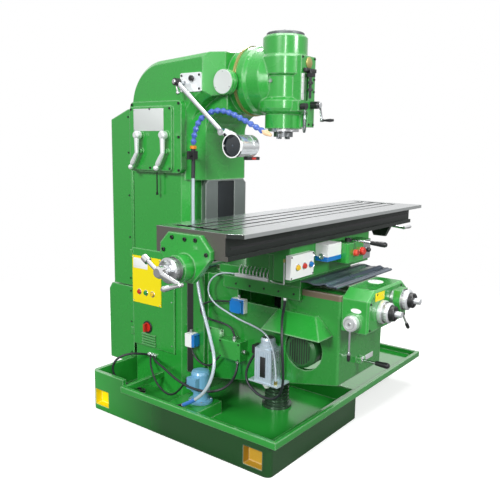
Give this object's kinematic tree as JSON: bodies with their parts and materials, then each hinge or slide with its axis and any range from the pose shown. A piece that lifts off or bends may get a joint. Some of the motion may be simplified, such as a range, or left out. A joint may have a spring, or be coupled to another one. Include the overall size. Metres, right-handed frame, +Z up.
{
  "type": "vertical knee milling machine",
  "caption": "Vertical knee-type milling machine: railed base, hollow column, swivelling head with quill, T-slot table on saddle and knee, work lamp, coolant and oil gear.",
  "frame": {"origin": "on the floor, straight below the upright spindle axis", "axes": "+X along the table to the operator's right, +Y from the operator to the column, +Z up"},
  "size_m": [2.025, 1.669, 1.85],
  "materials": {
    "green_paint": "glossy machine enamel",
    "table_iron": "ground top, dark sides",
    "bright_steel": "turned",
    "chrome": "polished",
    "brass_ring": "satin",
    "cast_levers": "cast, satin",
    "dark_cap": "satin",
    "motor_grey": "satin",
    "white_plastic": "matt",
    "yellow_plate": "satin",
    "red_plastic": "gloss",
    "green_plastic": "gloss",
    "yellow_plastic": "gloss",
    "blue_plastic": "gloss",
    "black_plastic": "satin",
    "lamp_metal": "satin",
    "hose_blue": "gloss",
    "pump_blue": "gloss",
    "white_hose": "matt",
    "black_rubber": "matt",
    "box_blue": "satin",
    "pump_silver": "cast",
    "orange_fitting": "gloss"
  },
  "bodies": {
    "frame": {"base": "green_paint", "chip_tray": "green_paint", "column": "green_paint", "swivel_ring": "brass_ring", "gearbox_cover": "green_paint", "rear_covers": "green_paint", "main_motor": "motor_grey", "contactor_panel": "white_plastic", "lamp_bracket": "white_plastic", "coolant_valve": "orange_fitting", "segmented_hose": "hose_blue", "coolant_pump": "pump_blue", "elevating_sleeve": "bright_steel", "coolant_supply_hose": "white_hose", "tray_cables": "black_rubber", "knee_cable": "black_rubber"},
    "speed_lever_rear": {"speed_lever_rear": "cast_levers"},
    "speed_lever_front": {"speed_lever_front": "cast_levers"},
    "door": {"cabinet_door": "green_paint", "control_plate": "yellow_plate"},
    "stop_button": {"stop_button": "red_plastic"},
    "start_button": {"start_button": "green_plastic"},
    "jog_button": {"jog_button": "yellow_plastic"},
    "main_switch": {"main_switch": "red_plastic"},
    "lamp_arm": {"lamp_arm": "chrome"},
    "lamp_head": {"lamp_head": "lamp_metal"},
    "head": {"head_housing": "green_paint", "head_cap": "dark_cap"},
    "quill": {"quill": "bright_steel", "depth_stop": "bright_steel"},
    "spindle": {"spindle": "bright_steel"},
    "quill_crank": {"quill_crank": "chrome"},
    "quill_clamp": {"quill_clamp_lever": "chrome"},
    "knee": {"knee": "green_paint", "knee_gearbox": "green_paint", "feed_motor": "motor_grey", "motor_hood": "green_paint", "elevating_screw": "bright_steel", "switch_boxes": "box_blue", "lube_pump": "pump_silver", "knee_leads": "black_rubber", "oil_tube": "white_hose", "saddle_cable": "black_rubber"},
    "elevating_shaft": {"elevating_shaft": "bright_steel"},
    "cross_shaft": {"cross_shaft": "bright_steel"},
    "feed_selector": {"feed_selector": "chrome"},
    "knee_lever": {"knee_lever": "black_plastic"},
    "saddle": {"saddle": "green_paint", "saddle_panel": "white_plastic", "power_feed_box": "motor_grey", "oil_distributor": "bright_steel", "rubber_apron": "black_rubber"},
    "saddle_button_yellow": {"saddle_button_yellow": "yellow_plastic"},
    "saddle_button_red": {"saddle_button_red": "red_plastic"},
    "saddle_button_blue": {"saddle_button_blue": "blue_plastic"},
    "power_feed_lever": {"power_feed_lever": "black_plastic"},
    "table": {"table": "table_iron", "table_brackets": "green_paint"},
    "leadscrew": {"leadscrew": "bright_steel", "table_cranks": "chrome"}
  },
  "joints": [
    {"name": "knee_lift", "type": "slide", "parent": "frame", "child": "knee", "axis": [0, 0, 1], "range_m": [-0.065, 0.24], "deforming": ["knee_cable"]},
    {"name": "saddle_cross", "type": "slide", "parent": "knee", "child": "saddle", "axis": [0, 1, 0], "range_m": [-0.13, 0.11], "deforming": ["oil_tube", "saddle_cable"]},
    {"name": "table_traverse", "type": "slide", "parent": "saddle", "child": "table", "axis": [1, 0, 0], "range_m": [-0.4, 0.4]},
    {"name": "table_screw_turn", "type": "hinge", "parent": "table", "child": "leadscrew", "pos_m": [0, -0.124, 0.905], "axis": [1, 0, 0], "continuous": true},
    {"name": "head_swivel", "type": "hinge", "parent": "frame", "child": "head", "pos_m": [0, 0.164, 1.645], "axis": [0, 1, 0], "range_deg": [-45, 10]},
    {"name": "quill_feed", "type": "slide", "parent": "head", "child": "quill", "axis": [0, 0, -1], "range_m": [0, 0.085]},
    {"name": "quill_crank_turn", "type": "hinge", "parent": "head", "child": "quill_crank", "pos_m": [0.04, -0.125, 1.531], "axis": [0, 1, 0], "range_deg": [0, 720]},
    {"name": "spindle_spin", "type": "hinge", "parent": "quill", "child": "spindle", "pos_m": [0, 0, 1.388], "axis": [0, 0, 1], "continuous": true},
    {"name": "quill_clamp_turn", "type": "hinge", "parent": "head", "child": "quill_clamp", "pos_m": [-0.048, -0.125, 1.521], "axis": [0, 1, 0], "range_deg": [0, 40]},
    {"name": "rear_speed_shift", "type": "hinge", "parent": "frame", "child": "speed_lever_rear", "pos_m": [-0.282, 0.655, 1.388], "axis": [1, 0, 0], "range_deg": [-30, 30]},
    {"name": "front_speed_shift", "type": "hinge", "parent": "frame", "child": "speed_lever_front", "pos_m": [-0.282, 0.478, 1.388], "axis": [1, 0, 0], "range_deg": [-30, 30]},
    {"name": "door_hinge", "type": "hinge", "parent": "frame", "child": "door", "pos_m": [-0.249, 0.776, 0.55], "axis": [0, 0, -1], "range_deg": [0, 110]},
    {"name": "stop_press", "type": "slide", "parent": "door", "child": "stop_button", "axis": [1, 0, 0], "range_m": [0, 0.004], "stiffness_N_per_m": 400},
    {"name": "start_press", "type": "slide", "parent": "door", "child": "start_button", "axis": [1, 0, 0], "range_m": [0, 0.004], "stiffness_N_per_m": 400},
    {"name": "jog_press", "type": "slide", "parent": "door", "child": "jog_button", "axis": [1, 0, 0], "range_m": [0, 0.004], "stiffness_N_per_m": 400},
    {"name": "main_switch_turn", "type": "hinge", "parent": "door", "child": "main_switch", "pos_m": [-0.247, 0.661, 0.399], "axis": [1, 0, 0], "range_deg": [0, 90]},
    {"name": "lamp_arm_swing", "type": "hinge", "parent": "frame", "child": "lamp_arm", "pos_m": [-0.285, 0.408, 1.631], "axis": [-1, 0, 0], "range_deg": [-18, 0]},
    {"name": "lamp_tilt", "type": "hinge", "parent": "lamp_arm", "child": "lamp_head", "pos_m": [-0.268, 0.147, 1.404], "axis": [-1, 0, 0], "range_deg": [-45, 10]},
    {"name": "elevating_turn", "type": "hinge", "parent": "knee", "child": "elevating_shaft", "pos_m": [-0.068, -0.57, 0.666], "axis": [0, 1, 0], "continuous": true},
    {"name": "cross_turn", "type": "hinge", "parent": "knee", "child": "cross_shaft", "pos_m": [0.038, -0.62, 0.708], "axis": [0, 1, 0], "continuous": true},
    {"name": "feed_select", "type": "hinge", "parent": "knee", "child": "feed_selector", "pos_m": [-0.196, -0.503, 0.632], "axis": [1, 0, 0], "range_deg": [-40, 40]},
    {"name": "knee_lever_swing", "type": "hinge", "parent": "knee", "child": "knee_lever", "pos_m": [-0.025, -0.463, 0.418], "axis": [1, 0, 0], "range_deg": [-20, 20]},
    {"name": "saddle_yellow_press", "type": "slide", "parent": "saddle", "child": "saddle_button_yellow", "axis": [0, 1, 0], "range_m": [0, 0.004], "stiffness_N_per_m": 400},
    {"name": "saddle_red_press", "type": "slide", "parent": "saddle", "child": "saddle_button_red", "axis": [0, 1, 0], "range_m": [0, 0.004], "stiffness_N_per_m": 400},
    {"name": "saddle_blue_press", "type": "slide", "parent": "saddle", "child": "saddle_button_blue", "axis": [0, 1, 0], "range_m": [0, 0.004], "stiffness_N_per_m": 400},
    {"name": "power_feed_swing", "type": "hinge", "parent": "saddle", "child": "power_feed_lever", "pos_m": [0.022, -0.35, 0.93], "axis": [0, 0, 1], "range_deg": [-25, 25]}
  ],
  "couplings": [
    {"joint": "quill_crank_turn", "follows": "quill_feed", "rad_per_m": 147.84}
  ]
}
